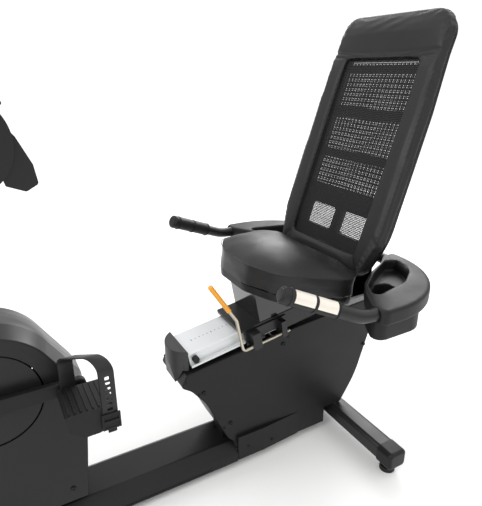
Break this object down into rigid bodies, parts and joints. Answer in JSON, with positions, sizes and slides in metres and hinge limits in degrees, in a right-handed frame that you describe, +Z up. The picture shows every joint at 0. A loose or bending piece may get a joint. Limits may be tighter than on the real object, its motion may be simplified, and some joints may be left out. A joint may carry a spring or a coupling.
{
  "type": "semi-recumbent exercise bike",
  "caption": "Semi-recumbent exercise bike with a sliding mesh-backed seat, round drive housing, pedals with straps, side handles with cup holders and a tilting console.",
  "frame": {"origin": "middle of the footprint's bounding box, on the floor", "axes": "+X from the console towards the backrest, +Y to the rider's right, +Z up"},
  "size_m": [1.651, 0.762, 1.245],
  "materials": {
    "frame_coat": "satin",
    "rail_metal": "satin",
    "cover_plastic": "matt",
    "housing_plastic": "matt",
    "crown_plastic": "satin",
    "gloss_trim": "gloss",
    "seat_vinyl": "satin",
    "back_vinyl": "satin",
    "mesh_fabric": "matt",
    "black_rubber": "matt",
    "grip_rubber": "matt",
    "pulse_steel": "brushed",
    "holder_plastic": "matt",
    "zinc_steel": "satin",
    "dark_steel": "satin",
    "orange_sleeve": "satin",
    "screen_gloss": "gloss",
    "pedal_plastic": "matt",
    "strap_rubber": "matt",
    "wheel_plastic": "matt",
    "cast_wheel": "machined",
    "button_green": "satin",
    "button_red": "satin",
    "magnet_steel": "satin"
  },
  "bodies": {
    "root": {"base_beam": "frame_coat", "beam_cover": "cover_plastic", "rear_stabilizer": "frame_coat", "front_stabilizer": "frame_coat", "stabilizer_end_caps": "cover_plastic", "levelling_feet": "black_rubber", "seat_post_frame": "frame_coat", "seat_rail": "rail_metal", "lock_rack": "dark_steel", "rail_stops": "black_rubber", "fairing_left": "cover_plastic", "fairing_right": "cover_plastic", "fairing_nose": "crown_plastic", "cover_screws": "zinc_steel", "drive_frame": "frame_coat", "crank_bearings": "dark_steel", "housing_left": "housing_plastic", "housing_right": "housing_plastic", "housing_crown": "crown_plastic", "brake_magnet": "magnet_steel", "flywheel_axle": "dark_steel", "drive_belt": "black_rubber", "console_mast": "frame_coat", "front_handlebar": "frame_coat", "front_grips": "grip_rubber"},
    "crank": {"crank_axle": "dark_steel", "crank_arm_left": "pedal_plastic", "crank_arm_right": "pedal_plastic", "drive_pulley": "pedal_plastic", "crank_discs": "housing_plastic", "pedal_spindles": "dark_steel"},
    "pedal_left": {"pedal_left": "pedal_plastic", "strap_left": "strap_rubber"},
    "pedal_right": {"pedal_right": "pedal_plastic", "strap_right": "strap_rubber"},
    "flywheel": {"flywheel": "cast_wheel"},
    "idler": {"idler_pulley": "pedal_plastic"},
    "carriage": {"carriage_body": "frame_coat", "seat_riser": "gloss_trim", "seat_pan": "holder_plastic", "seat_cushion": "seat_vinyl", "backrest_pad": "back_vinyl", "backrest_mesh": "mesh_fabric", "backrest_shell": "holder_plastic", "handle_tube": "frame_coat", "hand_grips": "grip_rubber", "pulse_plates": "pulse_steel", "cup_holder_left": "holder_plastic", "cup_holder_right": "holder_plastic", "lever_bracket": "frame_coat"},
    "roller_front": {"roller_front": "dark_steel"},
    "roller_rear": {"roller_rear": "dark_steel"},
    "lever": {"lock_lever": "zinc_steel", "lever_grip": "orange_sleeve"},
    "console": {"console_body": "housing_plastic", "console_screen": "screen_gloss"},
    "start_button": {"start_button": "button_green"},
    "stop_button": {"stop_button": "button_red"},
    "transport_wheel_left": {"transport_wheel_left": "wheel_plastic"},
    "transport_wheel_right": {"transport_wheel_right": "wheel_plastic"}
  },
  "joints": [
    {"name": "crank_spin", "type": "hinge", "parent": "root", "child": "crank", "pos_m": [-0.3385, 0, 0.448], "axis": [0, 1, 0], "continuous": true},
    {"name": "pedal_left_spin", "type": "hinge", "parent": "crank", "child": "pedal_left", "pos_m": [-0.1605, -0.175, 0.448], "axis": [0, 1, 0], "continuous": true},
    {"name": "pedal_right_spin", "type": "hinge", "parent": "crank", "child": "pedal_right", "pos_m": [-0.5165, 0.175, 0.448], "axis": [0, 1, 0], "continuous": true},
    {"name": "flywheel_spin", "type": "hinge", "parent": "root", "child": "flywheel", "pos_m": [-0.6085, 0, 0.33], "axis": [0, 1, 0], "continuous": true},
    {"name": "idler_spin", "type": "hinge", "parent": "root", "child": "idler", "pos_m": [-0.49816, -0.056, 0.42062], "axis": [0, 1, 0], "continuous": true},
    {"name": "seat_slide", "type": "slide", "parent": "root", "child": "carriage", "axis": [0.986, 0, 0.1668], "range_m": [-0.13, 0.15]},
    {"name": "roller_front_spin", "type": "hinge", "parent": "carriage", "child": "roller_front", "pos_m": [0.35968, 0, 0.46226], "axis": [0, 1, 0], "continuous": true},
    {"name": "roller_rear_spin", "type": "hinge", "parent": "carriage", "child": "roller_rear", "pos_m": [0.48293, 0, 0.4831], "axis": [0, 1, 0], "continuous": true},
    {"name": "lever_turn", "type": "hinge", "parent": "carriage", "child": "lever", "pos_m": [0.12717, -0.088, 0.36786], "axis": [0.986, 0, 0.1668], "range_deg": [-8, 0], "stiffness_Nm_per_rad": 2, "springref_deg": 6.88},
    {"name": "console_tilt", "type": "hinge", "parent": "root", "child": "console", "pos_m": [-0.36496, 0, 0.88509], "axis": [0, 1, 0], "range_deg": [-8, 8]},
    {"name": "start_press", "type": "slide", "parent": "console", "child": "start_button", "axis": [-0.9123, 0, -0.4096], "range_m": [0, 0.0015], "stiffness_N_per_m": 400, "springref_m": -0.0005},
    {"name": "stop_press", "type": "slide", "parent": "console", "child": "stop_button", "axis": [-0.9123, 0, -0.4096], "range_m": [0, 0.0015], "stiffness_N_per_m": 400, "springref_m": -0.0005},
    {"name": "wheel_left_spin", "type": "hinge", "parent": "root", "child": "transport_wheel_left", "pos_m": [-0.7985, -0.3095, 0.041], "axis": [0, 1, 0], "continuous": true},
    {"name": "wheel_right_spin", "type": "hinge", "parent": "root", "child": "transport_wheel_right", "pos_m": [-0.7985, 0.3095, 0.041], "axis": [0, 1, 0], "continuous": true}
  ],
  "couplings": [
    {"joint": "flywheel_spin", "follows": "crank_spin", "ratio": 4.3182},
    {"joint": "idler_spin", "follows": "crank_spin", "ratio": 5.2778},
    {"joint": "roller_front_spin", "follows": "seat_slide", "rad_per_m": 71.429},
    {"joint": "roller_rear_spin", "follows": "seat_slide", "rad_per_m": 71.429}
  ]
}
